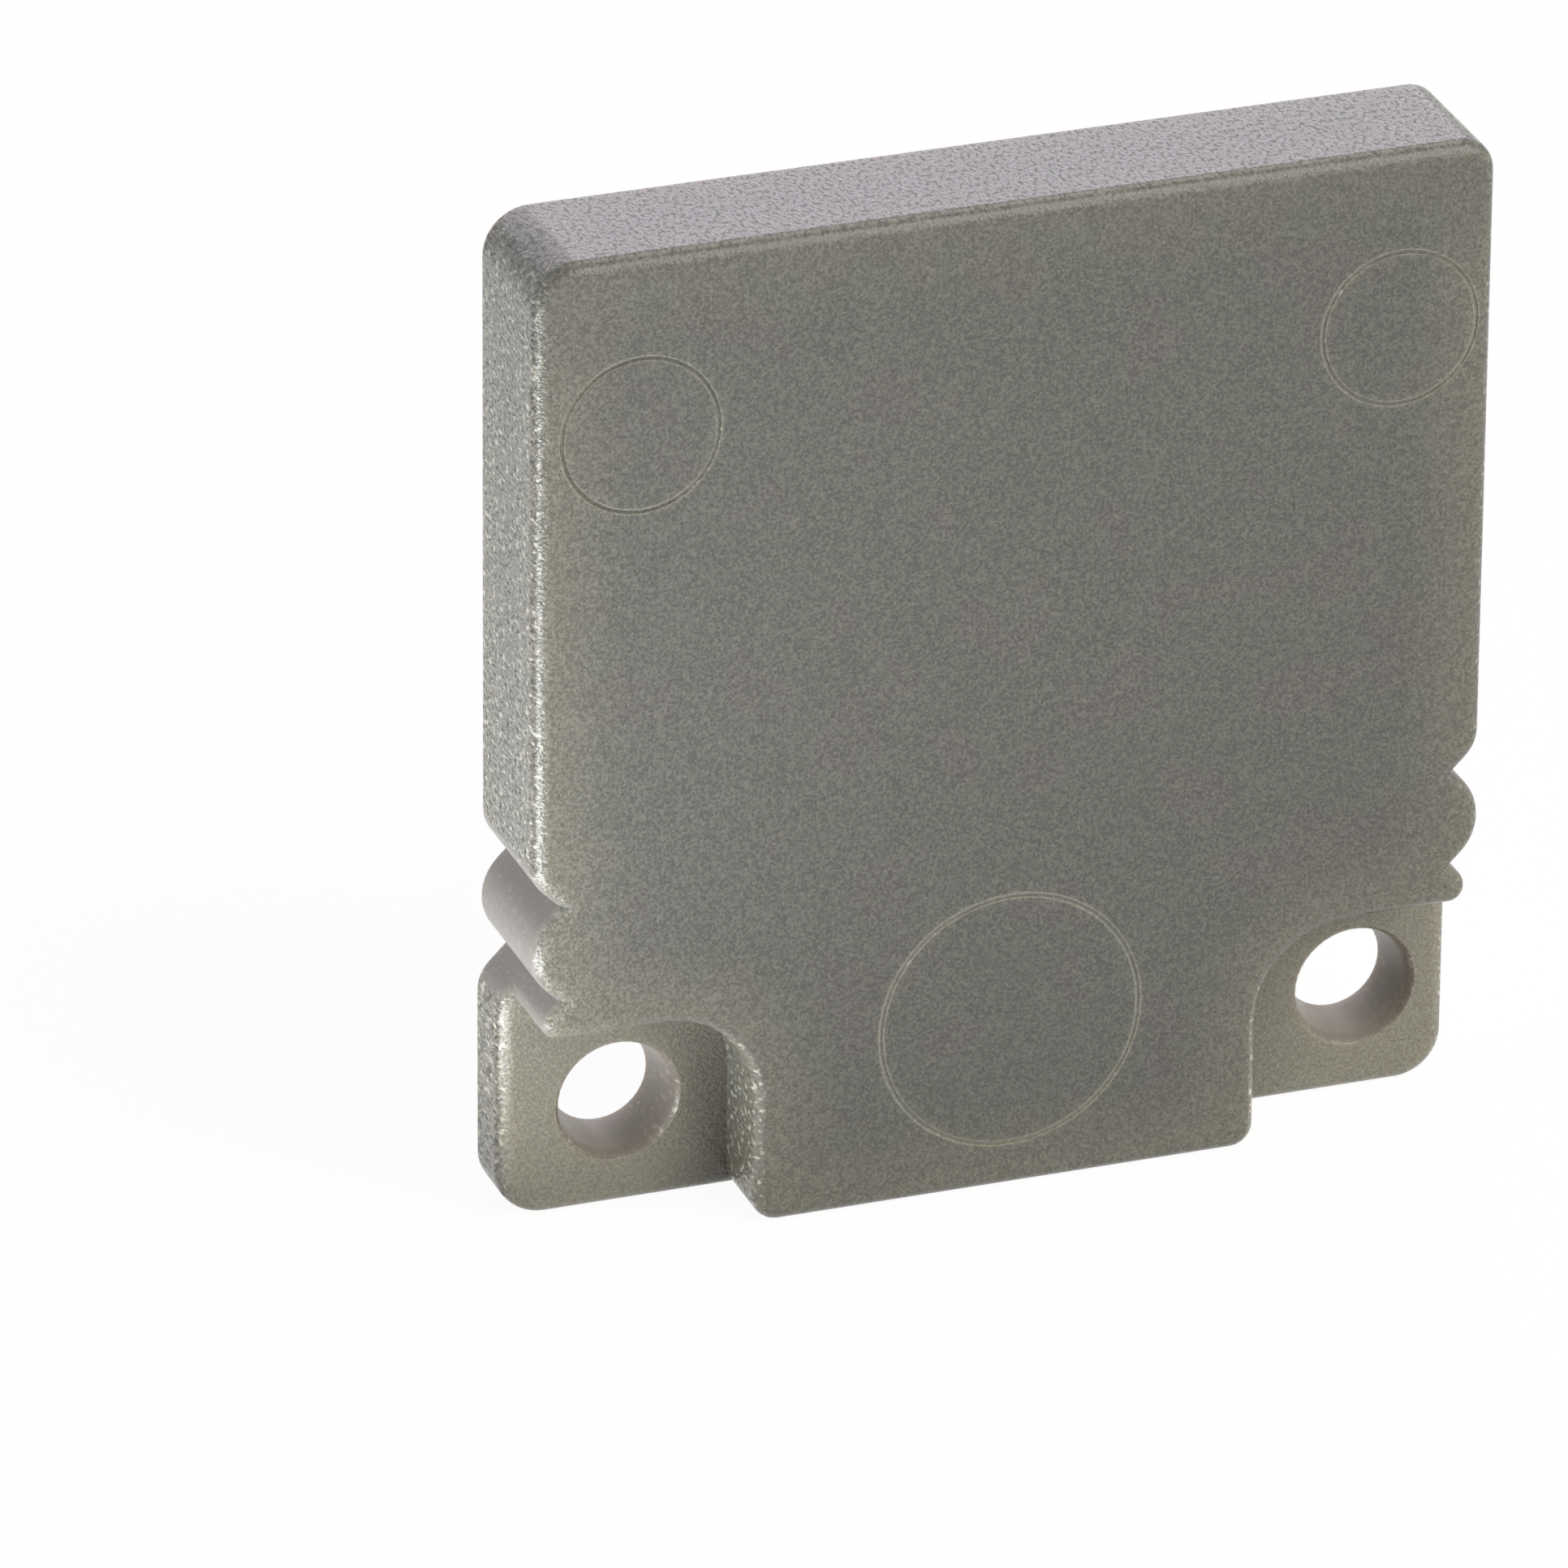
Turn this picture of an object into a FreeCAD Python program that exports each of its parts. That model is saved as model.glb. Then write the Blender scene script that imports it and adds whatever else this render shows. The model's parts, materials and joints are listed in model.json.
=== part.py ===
import FreeCAD
import Part
import Sketcher
import math
import os

# Profile end cap: one moulded plate that closes the open end of a slotted profile.
# X runs across the plate, Y from its front face to its flat back, Z up.
# The origin is the middle of the bottom edge, halfway through the plate. Sizes in millimetres.

SIZES = {
    # plate
    "plate_width": 24.0,
    "plate_height": 25.7,
    "plate_thickness": 3.8,
    "top_left_radius": 1.15,
    "top_right_radius": 0.85,
    "front_edge_radius": 0.4,
    # side grooves at 45 degrees, with a rounded bead between them
    "groove_depth": 0.65,
    "groove_mid_height": 7.95,
    "groove_pitch": 2.5,
    "groove_lip_radius": 1.0,
    "bead_radius": 1.35,
    # recesses beside the centre tongue, with a nose between each recess and the lower groove
    "nose_height": 1.0,
    "nose_radius_over_edge": 0.02,
    "recess_corner_radius": 2.35,
    "tongue_width": 12.8,
    "tongue_radius_over_edge": 0.2,
    # screw tabs, flush with the back
    "tab_overhang": 0.15,
    "tab_thickness": 1.6,
    "tab_corner_radius": 1.2,
    "tab_shoulder_radius": 1.0,
    # screw holes, tapered from the tab's front to a short straight land at the back
    "hole_inset": 2.7,
    "hole_offset": 0.3,
    "hole_height": 2.8,
    "hole_front_radius": 1.5,
    "hole_back_radius": 1.26,
    "hole_rim_chamfer": 0.08,
    "hole_land": 0.6,
    # witness rings left by the gate and the ejector pins
    "ring_width": 0.1,
    "ring_depth": 0.04,
    "gate_ring_radius": 3.33,
    "gate_ring_height": 4.5,
    "pin_ring_radius": 2.0,
    "pin_ring_left_inset": 2.6,
    "pin_ring_right_inset": 2.4,
    "pin_ring_top_inset": 4.5,
}


class Length:
    """A length together with the sheet expression that drives it."""

    def __init__(self, value, text):
        self.value = value
        self.text = text

    def __add__(self, other):
        return Length(self.value + other.value, "({} + {})".format(self.text, other.text))

    def __sub__(self, other):
        return Length(self.value - other.value, "({} - {})".format(self.text, other.text))

    def __mul__(self, factor):
        return Length(self.value * factor, "({} * {!r})".format(self.text, float(factor)))

    def __truediv__(self, divisor):
        return self * (1.0 / divisor)

    def __neg__(self):
        return self * -1


doc = FreeCAD.newDocument("profile_end_cap")

sheet = doc.addObject("Spreadsheet::Sheet", "Sizes")
for row, (alias, value) in enumerate(SIZES.items(), start=1):
    sheet.set("A{}".format(row), alias)
    sheet.set("B{}".format(row), str(value))
    sheet.setAlias("B{}".format(row), alias)
doc.recompute()
size = {alias: Length(value, "Sizes.{} * 1 mm".format(alias)) for alias, value in SIZES.items()}
zero = Length(0.0, "0 mm")

body = doc.addObject("PartDesign::Body", "end_cap")
body.Label = "end_cap"
planes = {plane.Role: plane for plane in body.Origin.OriginFeatures}

# Positions that follow from the sizes

half_thickness = size["plate_thickness"] / 2
plate_side = size["plate_width"] / 2
plate_top = size["plate_height"]
tongue_side = size["tongue_width"] / 2
tab_side = plate_side + size["tab_overhang"]
tab_front = half_thickness - size["tab_thickness"]

groove_root = plate_side - size["groove_depth"]
upper_root = size["groove_mid_height"] + size["groove_pitch"] / 2
lower_root = size["groove_mid_height"] - size["groove_pitch"] / 2
upper_lip = upper_root + size["groove_depth"]
bead_tip = groove_root + size["groove_pitch"] / 2
tab_shoulder = lower_root - (tab_side - groove_root)
ledge = lower_root - size["nose_height"]
nose_tip = groove_root + size["nose_height"]

hole_x = tab_side - size["hole_inset"]
land_front = half_thickness - size["hole_land"]
left_pin_x = size["pin_ring_left_inset"] - plate_side
right_pin_x = plate_side - size["pin_ring_right_inset"]
pin_z = plate_top - size["pin_ring_top_inset"]


def vector(point):
    return FreeCAD.Vector(point[0].value, point[1].value, 0)


def new_sketch(name, role, offset):
    """A sketch on an origin plane, moved by offset along the plane's own directions."""
    sketch = body.newObject("Sketcher::SketchObject", name)
    sketch.AttachmentSupport = [(planes[role], "")]
    sketch.MapMode = "FlatFace"
    for axis, shift in offset.items():
        sketch.setExpression("AttachmentOffset.Base.{}".format(axis), shift.text)
    return sketch


def drive(sketch, constraint, length):
    index = sketch.addConstraint(constraint)
    sketch.setExpression("Constraints[{}]".format(index), length.text)


def place(sketch, geometry, position, point):
    """Fixes one point of a sketch at two driven distances from the sketch's origin."""
    for kind, distance in zip(("DistanceX", "DistanceY"), point):
        constraint = Sketcher.Constraint(kind, -1, 1, geometry, position, distance.value)
        drive(sketch, constraint, distance)


def draw_outline(sketch, corners):
    """Closed outline through corners (x, y, radius), each sharp or rounded by its radius."""
    count = len(corners)
    arrivals, departures = [], []
    for i, (x, y, radius) in enumerate(corners):
        if radius is None:
            arrivals.append((x, y))
            departures.append((x, y))
            continue
        here = vector((x, y))
        back = (vector(corners[i - 1]) - here).normalize()
        ahead = (vector(corners[(i + 1) % count]) - here).normalize()
        reach = 1 / math.tan(back.getAngle(ahead) / 2)
        arrivals.append((x + radius * (reach * back.x), y + radius * (reach * back.y)))
        departures.append((x + radius * (reach * ahead.x), y + radius * (reach * ahead.y)))

    sides = []
    for i in range(count):
        start, end = vector(departures[i]), vector(arrivals[(i + 1) % count])
        sides.append(sketch.addGeometry(Part.LineSegment(start, end), False))
        place(sketch, sides[i], 1, departures[i])

    for i, (x, y, radius) in enumerate(corners):
        if radius is None:
            sketch.addConstraint(Sketcher.Constraint("Coincident", sides[i - 1], 2, sides[i], 1))
            continue
        place(sketch, sides[i - 1], 2, arrivals[i])
        start, end = vector(arrivals[i]), vector(departures[i])
        chord_middle = (start + end) / 2
        inward = (chord_middle - vector((x, y))).normalize()
        rise = math.sqrt(radius.value ** 2 - ((end - start).Length / 2) ** 2)
        crest = chord_middle + inward * (rise - radius.value)
        arc = sketch.addGeometry(Part.Arc(start, crest, end), False)
        # a sketch stores every arc anticlockwise
        anticlockwise = (crest - start).cross(end - crest).z > 0
        first, last = (1, 2) if anticlockwise else (2, 1)
        sketch.addConstraint(Sketcher.Constraint("Coincident", sides[i - 1], 2, arc, first))
        sketch.addConstraint(Sketcher.Constraint("Coincident", arc, last, sides[i], 1))
        drive(sketch, Sketcher.Constraint("Radius", arc, radius.value), radius)


def draw_circle(sketch, centre, radius):
    circle = Part.Circle(vector(centre), FreeCAD.Vector(0, 0, 1), radius.value)
    index = sketch.addGeometry(circle, False)
    place(sketch, index, 3, centre)
    drive(sketch, Sketcher.Constraint("Radius", index, radius.value), radius)


def both_sides(right_side, top=()):
    """Full outline from its right side, listed from the bottom up, and its top corners."""
    left_side = [(-x, z, radius) for x, z, radius in reversed(right_side)]
    return right_side + list(top) + left_side


def settle(feature):
    body.Tip = feature
    doc.recompute()
    return feature


def pad(name, sketch, length):
    feature = body.newObject("PartDesign::Pad", name)
    feature.Profile = sketch
    feature.setExpression("Length", length.text)
    feature.Reversed = True
    return settle(feature)


def round_edges(name, radius, chosen):
    """Rounds those edges of the body so far that the test picks."""
    base = body.Tip
    names = ["Edge{}".format(i) for i, edge in enumerate(base.Shape.Edges, start=1) if chosen(edge)]
    feature = body.newObject("PartDesign::Fillet", name)
    feature.Base = (base, names)
    feature.setExpression("Radius", radius.text)
    return settle(feature)


def lies_at(edge, y):
    return all(abs(vertex.Y - y.value) < 1e-4 for vertex in edge.Vertexes)


# Tab plate across the back, its front rim rounded below the grooves

tab_sketch = new_sketch("tab_outline", "XZ_Plane", {"z": -tab_front})
draw_outline(tab_sketch, both_sides([
    (tab_side, zero, size["tab_corner_radius"]),
    (tab_side, tab_shoulder, size["tab_shoulder_radius"]),
    (groove_root, lower_root, None),
]))
pad("tabs", tab_sketch, size["tab_thickness"])
round_edges("tab_rim", size["front_edge_radius"], lambda edge: (
    lies_at(edge, tab_front) and edge.CenterOfMass.z < lower_root.value - 1e-4))

# Main plate with its grooved sides and the centre tongue, through the whole thickness

plate_sketch = new_sketch("plate_outline", "XZ_Plane", {"z": half_thickness})
draw_outline(plate_sketch, both_sides([
    (tongue_side, zero, size["front_edge_radius"] + size["tongue_radius_over_edge"]),
    (tongue_side, ledge, size["recess_corner_radius"]),
    (nose_tip, ledge, size["front_edge_radius"] + size["nose_radius_over_edge"]),
    (groove_root, lower_root, None),
    (bead_tip, size["groove_mid_height"], size["bead_radius"]),
    (groove_root, upper_root, None),
    (plate_side, upper_lip, size["groove_lip_radius"]),
], top=[
    (plate_side, plate_top, size["top_right_radius"]),
    (-plate_side, plate_top, size["top_left_radius"]),
]))
pad("plate", plate_sketch, size["plate_thickness"])
round_edges("front_edges", size["front_edge_radius"], lambda edge: lies_at(edge, -half_thickness))

# Tapered screw holes, each a cut revolved about its own axis

rim = size["hole_rim_chamfer"]
for name, x in (
    ("left_hole", size["hole_offset"] - hole_x),
    ("right_hole", size["hole_offset"] + hole_x),
):
    hole_sketch = new_sketch(name + "_profile", "XY_Plane", {"x": x, "z": size["hole_height"]})
    draw_outline(hole_sketch, [
        (zero, tab_front, None),
        (size["hole_front_radius"] + rim, tab_front, None),
        (size["hole_front_radius"], tab_front + rim, None),
        (size["hole_back_radius"], land_front, None),
        (size["hole_back_radius"], half_thickness, None),
        (zero, half_thickness, None),
    ])
    hole = body.newObject("PartDesign::Groove", name)
    hole.Profile = hole_sketch
    hole.ReferenceAxis = (hole_sketch, ["V_Axis"])
    hole.Angle = 360
    settle(hole)

# Shallow witness rings on the front face

for name, centre, radius in (
    ("gate_ring", (zero, size["gate_ring_height"]), size["gate_ring_radius"]),
    ("left_pin_ring", (left_pin_x, pin_z), size["pin_ring_radius"]),
    ("right_pin_ring", (right_pin_x, pin_z), size["pin_ring_radius"]),
):
    ring_sketch = new_sketch(name + "_outline", "XZ_Plane", {"z": half_thickness})
    draw_circle(ring_sketch, centre, radius)
    draw_circle(ring_sketch, centre, radius - size["ring_width"])
    ring = body.newObject("PartDesign::Pocket", name)
    ring.Profile = ring_sketch
    ring.setExpression("Length", size["ring_depth"].text)
    solid_volume = ring.BaseFeature.Shape.Volume
    settle(ring)
    if ring.Shape.Volume > solid_volume - 1e-4:
        raise RuntimeError("{} cut nothing".format(name))

# Check and write

for item in doc.Objects:
    if "Invalid" in item.State or "Error" in item.State:
        raise RuntimeError("{} did not build: {}".format(item.Name, item.State))
if body.Shape.isNull() or not body.Shape.isValid() or len(body.Shape.Solids) != 1:
    raise RuntimeError("the end cap is not one valid solid")

os.makedirs("parts", exist_ok=True)
body.Shape.exportStep("parts/{}.step".format(body.Label))
print("end_cap: {:.3f} mm3, {} faces".format(body.Shape.Volume, len(body.Shape.Faces)))
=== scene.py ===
import bpy
import json
import math
from mathutils import Matrix, Quaternion, Vector


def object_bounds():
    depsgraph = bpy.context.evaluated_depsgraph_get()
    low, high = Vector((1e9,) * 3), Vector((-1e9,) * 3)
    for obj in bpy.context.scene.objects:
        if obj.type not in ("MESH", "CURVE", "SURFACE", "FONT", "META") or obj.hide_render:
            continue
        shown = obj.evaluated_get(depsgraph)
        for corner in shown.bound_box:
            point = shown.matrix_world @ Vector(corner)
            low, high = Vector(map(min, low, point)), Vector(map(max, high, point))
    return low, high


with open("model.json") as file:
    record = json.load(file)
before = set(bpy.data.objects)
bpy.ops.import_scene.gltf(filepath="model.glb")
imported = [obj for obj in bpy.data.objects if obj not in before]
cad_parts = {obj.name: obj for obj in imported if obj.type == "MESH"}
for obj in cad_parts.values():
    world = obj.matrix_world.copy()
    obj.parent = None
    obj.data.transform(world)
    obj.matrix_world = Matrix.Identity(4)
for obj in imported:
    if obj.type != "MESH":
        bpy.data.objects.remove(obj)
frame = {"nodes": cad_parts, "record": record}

cad_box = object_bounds()
MM = 0.001

# Camera of the photograph: a long lens, left of the part and above it

AZIMUTH, ELEVATION, ROLL = (math.radians(angle) for angle in (-19.98, 25.64, 0.448))
DISTANCE = 372.4 * MM
LOOK_AT = Vector((0.0, 0.1, 12.0)) * MM
SIDE_STEP, UP_STEP = -4.779 * MM, -1.952 * MM
LENS, SENSOR_WIDTH = 359.27, 36.0
CLIP_NEAR, CLIP_FAR = 0.05, 5.0

back = Vector((math.sin(AZIMUTH) * math.cos(ELEVATION),
               -math.cos(AZIMUTH) * math.cos(ELEVATION), math.sin(ELEVATION)))
level = Vector((math.cos(AZIMUTH), math.sin(AZIMUTH), 0.0))
upright = back.cross(level)
right = math.cos(ROLL) * level + math.sin(ROLL) * upright
up = math.cos(ROLL) * upright - math.sin(ROLL) * level

camera_data = bpy.data.cameras.new("camera")
camera_data.sensor_width = SENSOR_WIDTH
camera_data.lens = LENS
camera_data.clip_start, camera_data.clip_end = CLIP_NEAR, CLIP_FAR
camera = bpy.data.objects.new("camera", camera_data)
bpy.context.scene.collection.objects.link(camera)
facing = Matrix((right, up, back)).transposed()
stand = LOOK_AT + DISTANCE * back + SIDE_STEP * right + UP_STEP * up
camera.matrix_world = Matrix.Translation(stand) @ facing.to_4x4()
bpy.context.scene.camera = camera
bpy.context.scene.view_settings.view_transform = "Standard"

# Lamps

MIDDLE = (0.0, 0.0, 12.0)
LAMP_DISTANCE = 300.0


def around(azimuth, elevation):
    """Place in mm on a sphere around the part. Azimuth 0 is in front, 90 on the right."""
    a, e = math.radians(azimuth), math.radians(elevation)
    return (LAMP_DISTANCE * math.sin(a) * math.cos(e), -LAMP_DISTANCE * math.cos(a) * math.cos(e),
            MIDDLE[2] + LAMP_DISTANCE * math.sin(e))


def area_light(name, place, aim, width, height, power, colour, turn=0.0):
    """A soft box at a place in mm, aimed at a point in mm and turned about its own axis in degrees."""
    data = bpy.data.lights.new(name, "AREA")
    data.shape = "RECTANGLE"
    data.size, data.size_y = width * MM, height * MM
    data.energy = power
    data.color = colour
    light = bpy.data.objects.new(name, data)
    bpy.context.scene.collection.objects.link(light)
    light.location = Vector(place) * MM
    light.rotation_mode = "QUATERNION"
    light.rotation_quaternion = ((Vector(place) - Vector(aim)).to_track_quat("Z", "Y")
                                 @ Quaternion((0.0, 0.0, 1.0), math.radians(turn)))
    light.visible_camera = False


LIGHTS = (
    # name, place, aim, width, height, power, colour, and a turn where it has one
    ("back_low", around(175, 22), MIDDLE, 300, 120, 0.20, (0.91, 0.83, 1.0)),
    ("front", around(38, 40), MIDDLE, 260, 290, 0.66, (1.0, 0.98, 0.88)),
    ("overhead", (81.0, 85.0, 235.0), MIDDLE, 110, 130, 0.09, (1.0, 0.98, 0.90)),
    ("left_side", around(-95, 15), MIDDLE, 150, 200, 0.18, (1.0, 1.0, 1.0)),
    # a narrow bright card lying on the table, which the left edges mirror
    ("left_strip", (-40.5, -13.4, 0.6), (-40.5, -13.4, 10.0), 49, 15, 0.024, (0.95, 0.98, 1.0),
     -20.0),
)
for settings in LIGHTS:
    area_light(*settings)

# World: dim for the light on the part, white where the camera or a gloss sees it

WHITE = (1.0, 1.0, 1.0, 1.0)
ROOM_STRENGTH, BACKDROP_STRENGTH = 0.02, 1.0


def finish_surface(tree, output, unseen, seen, share):
    """Camera and glossy rays get a share of the seen shader, all other rays the unseen one."""
    nodes, links = tree.nodes, tree.links
    path = nodes.new("ShaderNodeLightPath")
    either = nodes.new("ShaderNodeMath")
    either.operation = "MAXIMUM"
    links.new(path.outputs["Is Camera Ray"], either.inputs[0])
    links.new(path.outputs["Is Glossy Ray"], either.inputs[1])
    part = nodes.new("ShaderNodeMath")
    part.operation = "MULTIPLY"
    links.new(either.outputs[0], part.inputs[0])
    part.inputs[1].default_value = share
    mix = nodes.new("ShaderNodeMixShader")
    links.new(part.outputs[0], mix.inputs[0])
    links.new(unseen.outputs[0], mix.inputs[1])
    links.new(seen.outputs[0], mix.inputs[2])
    links.new(mix.outputs[0], output.inputs["Surface"])


world = bpy.data.worlds.new("studio")
bpy.context.scene.world = world
world.use_nodes = True
world.node_tree.nodes.clear()
room, backdrop = (world.node_tree.nodes.new("ShaderNodeBackground") for _ in range(2))
for background, strength in ((room, ROOM_STRENGTH), (backdrop, BACKDROP_STRENGTH)):
    background.inputs["Color"].default_value = WHITE
    background.inputs["Strength"].default_value = strength
world_output = world.node_tree.nodes.new("ShaderNodeOutputWorld")
finish_surface(world.node_tree, world_output, room, backdrop, 1.0)

# Plastic: warm grey, slightly translucent, with a fine spark-eroded grain; light is also painted into
# its colour: a glow where it is thin, glints on the sides, highlights along the rings

# places on the part in mm
FRONT = cad_box[0][1] / MM
mounts = {mount["name"]: mount for mount in frame["record"]["mounts"]}
HOLES = [mounts[name]["pos_m"][0] / MM for name in ("left_hole", "right_hole")]
HOLE_HEIGHT = mounts["left_hole"]["pos_m"][2] / MM
HOLE_RADIUS = 1.5
# moulded rings: x, z, radius, and how light the painted highlight along the ring line is
RINGS = ((0.0, 4.5, 3.33, 1.0), (-9.4, 21.2, 2.0, 0.4), (9.6, 21.2, 2.0, 0.7))
RING_WIDTH = 0.1
GROOVES_MIDDLE, GROOVES_REACH, GROOVES_SIDE = 7.95, 1.9, 11.2
TONGUE_SIDE, TAB_TOP = 6.4, 6.2

# base colours; the thin colour and the bore colour are painted glow, lighter and warmer for light
# shining through the thin plastic
THICK_GREEN = (0.181, 0.187, 0.168, 1.0)
THICK_WARM = (0.190, 0.184, 0.170, 1.0)
THIN_GLOW = (0.270, 0.256, 0.210, 1.0)
FLANK = (0.235, 0.215, 0.206, 1.0)
BORE_GLOW = (0.38, 0.34, 0.305, 1.0)

# noise scales per mm
MOTTLE_SCALE, RIDGE_SCALE, SPECK_SCALE = 0.45, 9.5, 13.0
PIT_SCALE, GLINT_SCALE = 10.0, 7.5
DRAWN_OUT = (1.0, 0.55, 1.0)

# changes of lightness, where 1 is the base colour as written
GRAIN_DARK, GRAIN_LIGHT = 0.65, 1.38
PIT_SHADE = 0.45
# painted glints and painted shade on the outer sides, and painted glints and a painted highlight on
# the tongue's sides
OUTER_PAINTED_GLINT, OUTER_PAINTED_SHADE = 1.5, 0.2
INNER_PAINTED_GLINT, INNER_PAINTED_LIGHT = 3.0, 0.4
# painted glow on the tabs
TAB_GLOW = 0.42
# painted highlight along the rings
RING_HIGHLIGHT = 0.72

# surface
ROUGHNESS, ROUGHER = 0.19, 0.22
BUMP_DEPTH = 0.02 * MM
THIN_REACH = 2.4 * MM
GLOW_SHARE, GLOW_RADIUS, GLOW_SCALE = 0.5, (1.0, 0.8, 0.55), 0.8 * MM
REFRACTION = 1.57

plastic = bpy.data.materials.new("plastic")
plastic.use_nodes = True
tree = plastic.node_tree
shader = tree.nodes["Principled BSDF"]


def feed(socket, value):
    """Links a socket, or sets it where the value is a plain number or colour."""
    if isinstance(value, bpy.types.NodeSocket):
        tree.links.new(value, socket)
    else:
        socket.default_value = value


def maths(operation, *values):
    node = tree.nodes.new("ShaderNodeMath")
    node.operation = operation
    for socket, value in zip(node.inputs, values):
        feed(socket, value)
    return node.outputs[0]


def times(first, *others):
    for other in others:
        first = maths("MULTIPLY", first, other)
    return first


def plus(first, second):
    return maths("ADD", first, second)


def minus(first, second):
    return maths("SUBTRACT", first, second)


def ramp(value, start, end, low=0.0, high=1.0):
    """Goes smoothly from low to high while the value goes from start to end."""
    node = tree.nodes.new("ShaderNodeMapRange")
    node.interpolation_type = "SMOOTHSTEP"
    feed(node.inputs["Value"], value)
    for name, bound in (("From Min", start), ("From Max", end), ("To Min", low), ("To Max", high)):
        feed(node.inputs[name], bound)
    return node.outputs[0]


def blend(share, first, second):
    """Mixes two colours."""
    node = tree.nodes.new("ShaderNodeMix")
    node.data_type = "RGBA"
    feed(node.inputs[0], share)
    feed(node.inputs[6], first)
    feed(node.inputs[7], second)
    return node.outputs[2]


def noise(vector, scale, detail=1.0):
    node = tree.nodes.new("ShaderNodeTexNoise")
    for name, value in (("Vector", vector), ("Scale", scale), ("Detail", detail)):
        feed(node.inputs[name], value)
    return node.outputs[0]


def stretched(vector, factors):
    node = tree.nodes.new("ShaderNodeVectorMath")
    node.operation = "MULTIPLY"
    feed(node.inputs[0], vector)
    feed(node.inputs[1], factors)
    return node.outputs[0]


def split(vector):
    """The x, y and z of a vector."""
    node = tree.nodes.new("ShaderNodeSeparateXYZ")
    feed(node.inputs[0], vector)
    return node.outputs


in_mm = stretched(tree.nodes.new("ShaderNodeTexCoord").outputs["Object"], (1 / MM, 1 / MM, 1 / MM))
across, depth, height = split(in_mm)
off_middle = maths("ABSOLUTE", across)
normal = split(tree.nodes.new("ShaderNodeNewGeometry").outputs["Normal"])
lean_x, lean_y, lean_z = (maths("ABSOLUTE", lean) for lean in normal)


def distance_from(x, z):
    """Distance in mm from an axis that runs straight through the plate."""
    dx, dz = minus(across, x), minus(height, z)
    return maths("SQRT", plus(times(dx, dx), times(dz, dz)))


# masks from 0 to 1: faces that run through the thickness, faces that look sideways (the plate's own
# sides, and the tongue's), moulded rings, smooth bores and groove flanks, and the tabs' flat faces;
# the ring and tab masks carry painted light
walls = ramp(lean_y, 0.35, 0.8, 1.0, 0.0)
sides = ramp(lean_x, 0.35, 0.7)
outer = times(sides, ramp(off_middle, 9.0, 11.0))
inner = minus(sides, outer)

# painted highlight along each ring's line, lighter on the rings whose edge catches more light
rings = 0.0
for x, z, radius, share in RINGS:
    off_line = maths("ABSOLUTE", minus(distance_from(x, z), radius - RING_WIDTH / 2))
    rings = maths("MAXIMUM", rings, ramp(off_line, RING_WIDTH / 2, RING_WIDTH, share, 0.0))
rings = times(rings, ramp(depth, FRONT + 0.1, FRONT + 0.2, 1.0, 0.0))

bores = maths("MINIMUM", *(distance_from(x, HOLE_HEIGHT) for x in HOLES))
bores = times(walls, ramp(bores, HOLE_RADIUS + 0.03, HOLE_RADIUS + 0.1, 1.0, 0.0))
off_grooves = maths("ABSOLUTE", minus(height, GROOVES_MIDDLE))
flanks = times(ramp(off_middle, GROOVES_SIDE, GROOVES_SIDE + 0.2),
               ramp(off_grooves, GROOVES_REACH, GROOVES_REACH + 0.4, 1.0, 0.0), walls)
smooth = maths("MAXIMUM", bores, flanks)

# painted glow on the tabs' flat faces for light shining through the thin tabs, weaker towards the
# tongue
tabs = times(minus(1.0, walls), ramp(off_middle, TONGUE_SIDE, TONGUE_SIDE + 2.6, 0.15, 1.0),
             ramp(height, TAB_TOP, TAB_TOP + 1.0, 1.0, 0.0), ramp(depth, 0.0, 0.25))

# painted glow: where the plastic is thin, near edges and on the tabs, the colour is lighter and
# warmer, standing in for light shining through it; less so near the top edge
inside = tree.nodes.new("ShaderNodeAmbientOcclusion")
inside.inside = True
inside.samples = 3
inside.inputs["Distance"].default_value = THIN_REACH
thin_glow = maths("POWER", ramp(minus(1.0, inside.outputs["AO"]), 0.0, 0.42), 1.2)
thin_glow = times(thin_glow, ramp(height, 22.0, 24.6, 1.0, 0.5))
mottle = ramp(noise(in_mm, MOTTLE_SCALE, 2.0), 0.42, 0.62)
ground = blend(thin_glow, blend(mottle, THICK_GREEN, THICK_WARM), THIN_GLOW)
ground = blend(times(smooth, 0.8), ground, FLANK)
# painted glow: the bores get a lighter, warmer colour for light shining through the thin tab around
# them
ground = blend(bores, ground, BORE_GLOW)

# grain of fine wandering ridges and specks, drawn out through the thickness, with pits on the walls,
# and painted glints: bright spots in the colour for sparkling highlights on the sides
drawn = stretched(in_mm, DRAWN_OUT)
ridges = ramp(maths("ABSOLUTE", minus(noise(drawn, RIDGE_SCALE), 0.5)), 0.0, 0.07, 1.0, 0.0)
grain = plus(times(ridges, 0.22), noise(drawn, SPECK_SCALE))
pits = times(ramp(noise(drawn, PIT_SCALE), 0.36, 0.50, 1.0, 0.0), walls, minus(1.0, smooth))
painted_glints = ramp(noise(drawn, GLINT_SCALE), 0.54, 0.74)

lightness = minus(ramp(grain, 0.25, 0.95, GRAIN_DARK, GRAIN_LIGHT), times(pits, PIT_SHADE))
# painted glints on the plate's outer sides, with painted shade that darkens those sides overall
lightness = plus(lightness, times(outer, minus(times(painted_glints, OUTER_PAINTED_GLINT), OUTER_PAINTED_SHADE)))
# painted highlight down the tongue's sides: glints and an overall lift standing in for the bright edge
# it reflects
lightness = plus(lightness, times(inner, plus(times(painted_glints, INNER_PAINTED_GLINT), INNER_PAINTED_LIGHT)))
lightness = plus(lightness, times(smooth, 0.85, minus(1.0, lightness)))
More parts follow.
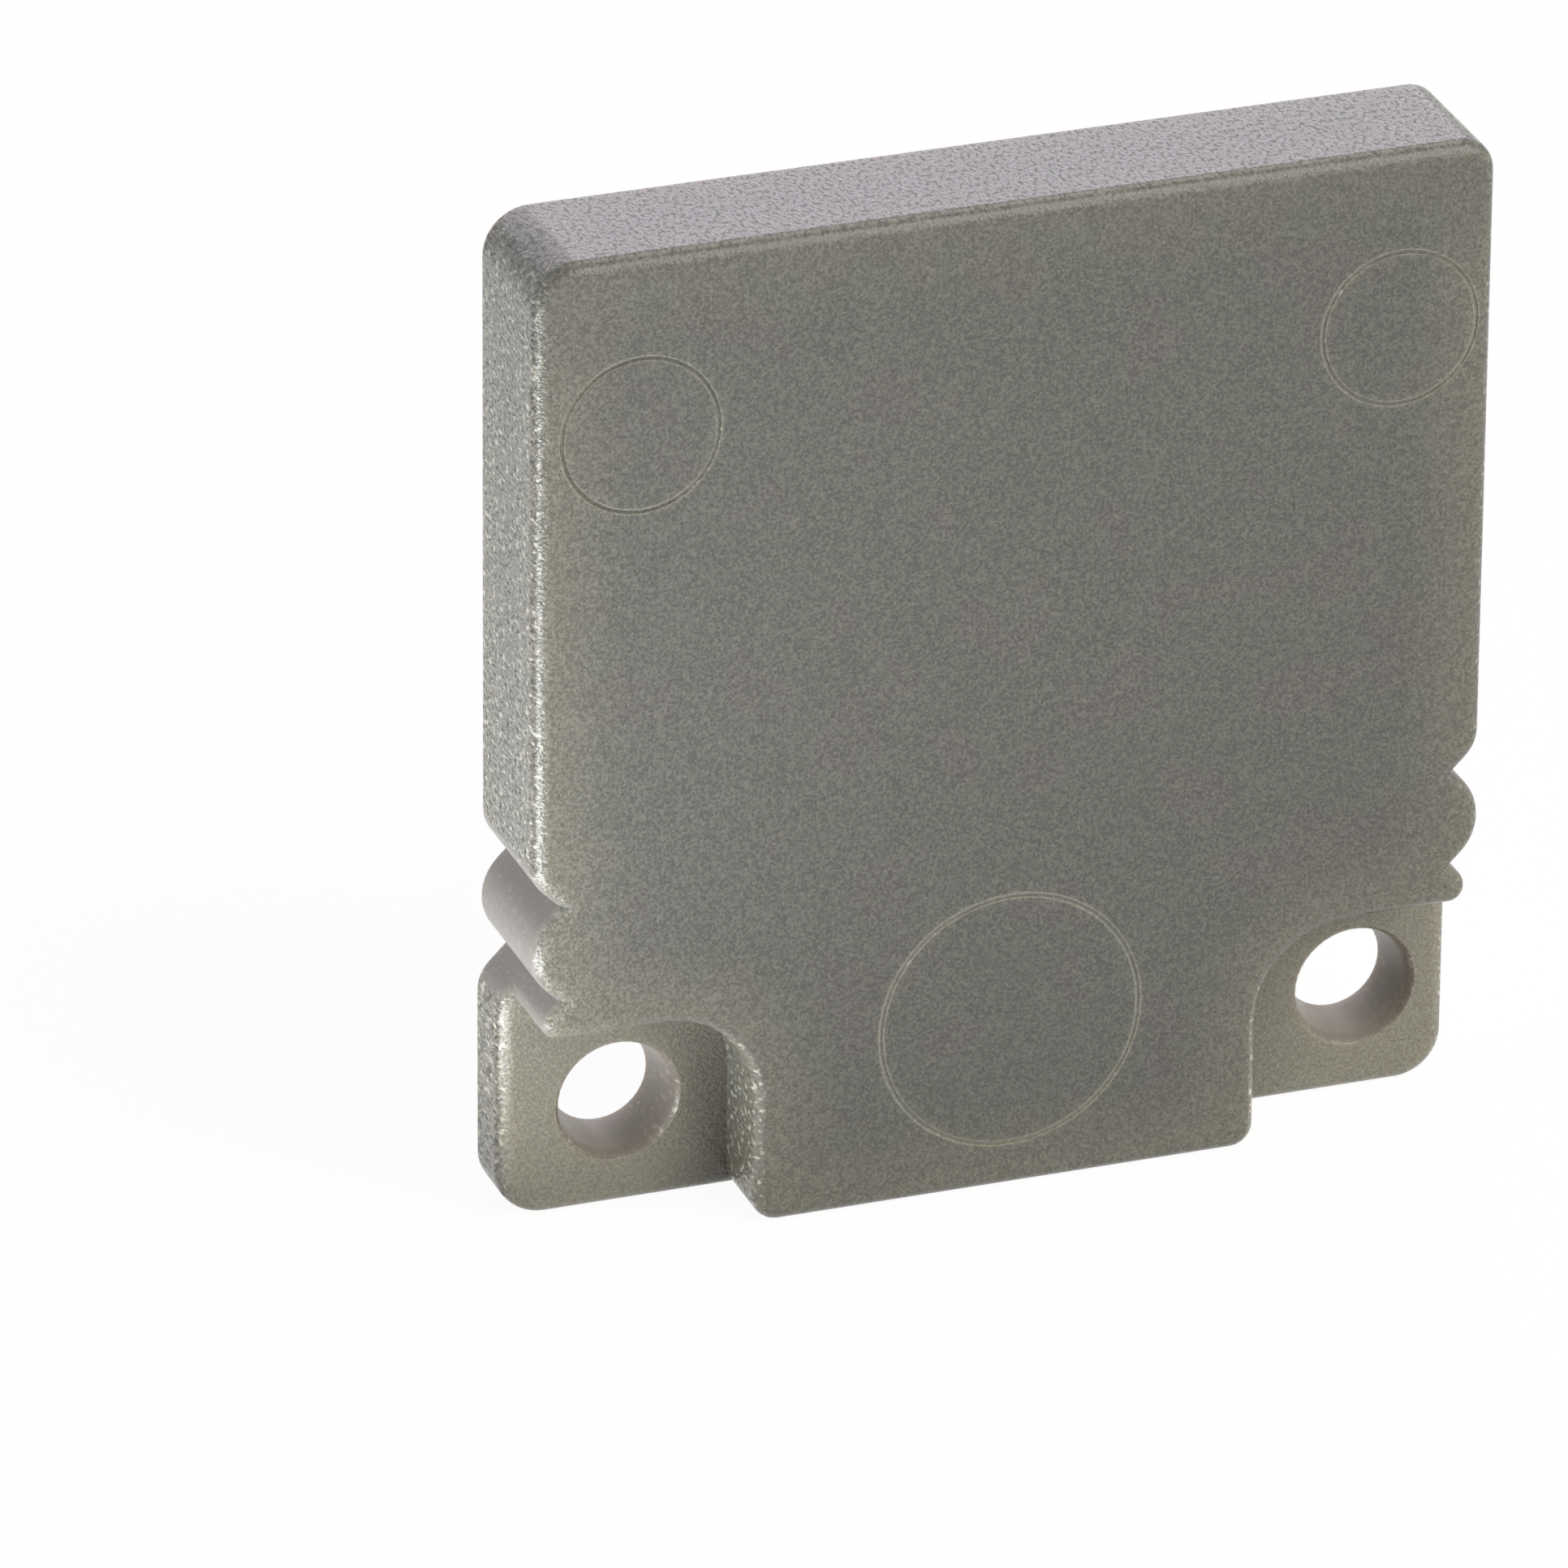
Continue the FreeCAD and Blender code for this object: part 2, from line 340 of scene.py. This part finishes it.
# painted glow on the tabs and painted highlight along the moulded rings
lightness = plus(lightness, plus(times(tabs, TAB_GLOW), times(rings, RING_HIGHLIGHT)))
tone = tree.nodes.new("ShaderNodeVectorMath")
tone.operation = "SCALE"
feed(tone.inputs[0], ground)
feed(tone.inputs["Scale"], lightness)
feed(shader.inputs["Base Color"], tone.outputs[0])

# the smooth places and the top are flatter, the smooth places and the pits are rougher
flatter = maths("MAXIMUM", times(smooth, 0.9), ramp(lean_z, 0.35, 0.8, 0.0, 0.55))
bump = tree.nodes.new("ShaderNodeBump")
bump.inputs["Distance"].default_value = BUMP_DEPTH
feed(bump.inputs["Strength"], minus(1.0, flatter))
feed(bump.inputs["Height"], grain)
feed(shader.inputs["Normal"], bump.outputs[0])
rougher = times(maths("MAXIMUM", pits, smooth), ROUGHER)
feed(shader.inputs["Roughness"], plus(ROUGHNESS, rougher))

shader.inputs["IOR"].default_value = REFRACTION
shader.inputs["Subsurface Weight"].default_value = GLOW_SHARE
shader.inputs["Subsurface Radius"].default_value = GLOW_RADIUS
shader.inputs["Subsurface Scale"].default_value = GLOW_SCALE

cap = frame["nodes"]["end_cap"]
cap.data.materials.clear()
cap.data.materials.append(plastic)

# Shading

SHARP_ANGLE = 35.0
SAME_POINT = 1e-7


def smooth_faces(obj, angle):
    """Modifiers that join split corners and shade curved faces smooth, mesh untouched."""
    group = bpy.data.node_groups.new("smooth_by_angle", "GeometryNodeTree")
    for direction in ("INPUT", "OUTPUT"):
        group.interface.new_socket("Geometry", in_out=direction, socket_type="NodeSocketGeometry")
    nodes, links = group.nodes, group.links
    entry, leave = nodes.new("NodeGroupInput"), nodes.new("NodeGroupOutput")
    merge = nodes.new("GeometryNodeMergeByDistance")
    merge.inputs["Distance"].default_value = SAME_POINT
    faces = nodes.new("GeometryNodeSetShadeSmooth")
    edges = nodes.new("GeometryNodeSetShadeSmooth")
    edges.domain = "EDGE"
    edges.inputs["Shade Smooth"].default_value = False
    edge_angle = nodes.new("GeometryNodeInputMeshEdgeAngle")
    sharp = nodes.new("FunctionNodeCompare")
    sharp.data_type, sharp.operation = "FLOAT", "GREATER_THAN"
    sharp.inputs[1].default_value = math.radians(angle)
    links.new(entry.outputs[0], merge.inputs["Geometry"])
    links.new(merge.outputs["Geometry"], faces.inputs["Geometry"])
    links.new(faces.outputs["Geometry"], edges.inputs["Geometry"])
    links.new(edge_angle.outputs["Unsigned Angle"], sharp.inputs[0])
    links.new(sharp.outputs["Result"], edges.inputs["Selection"])
    links.new(edges.outputs["Geometry"], leave.inputs[0])
    modifier = obj.modifiers.new("smooth", "NODES")
    modifier.node_group = group
    weighted = obj.modifiers.new("weighted", "WEIGHTED_NORMAL")
    weighted.mode = "FACE_AREA"
    weighted.weight = 100
    weighted.keep_sharp = True


smooth_faces(cap, SHARP_ANGLE)

# Floor: matte for the light on the part, nearly white where the camera or a gloss sees it

FLOOR_REACH = 0.6
FLOOR_COLOUR = (0.9, 0.9, 0.9, 1.0)
FLOOR_GLOW, FLOOR_GLOW_SHARE = 1.05, 0.9

corners = [(x * FLOOR_REACH, y * FLOOR_REACH, 0.0) for x, y in ((-1, -1), (1, -1), (1, 1), (-1, 1))]
floor_data = bpy.data.meshes.new("floor")
floor_data.from_pydata(corners, [], [(0, 1, 2, 3)])
floor = bpy.data.objects.new("floor", floor_data)
bpy.context.scene.collection.objects.link(floor)
floor_paint = bpy.data.materials.new("floor_paint")
floor_paint.use_nodes = True
floor_nodes = floor_paint.node_tree.nodes
floor_nodes.clear()
matte = floor_nodes.new("ShaderNodeBsdfDiffuse")
matte.inputs["Color"].default_value = FLOOR_COLOUR
glow = floor_nodes.new("ShaderNodeEmission")
glow.inputs["Strength"].default_value = FLOOR_GLOW
floor_output = floor_nodes.new("ShaderNodeOutputMaterial")
finish_surface(floor_paint.node_tree, floor_output, matte, glow, FLOOR_GLOW_SHARE)
floor_data.materials.append(floor_paint)
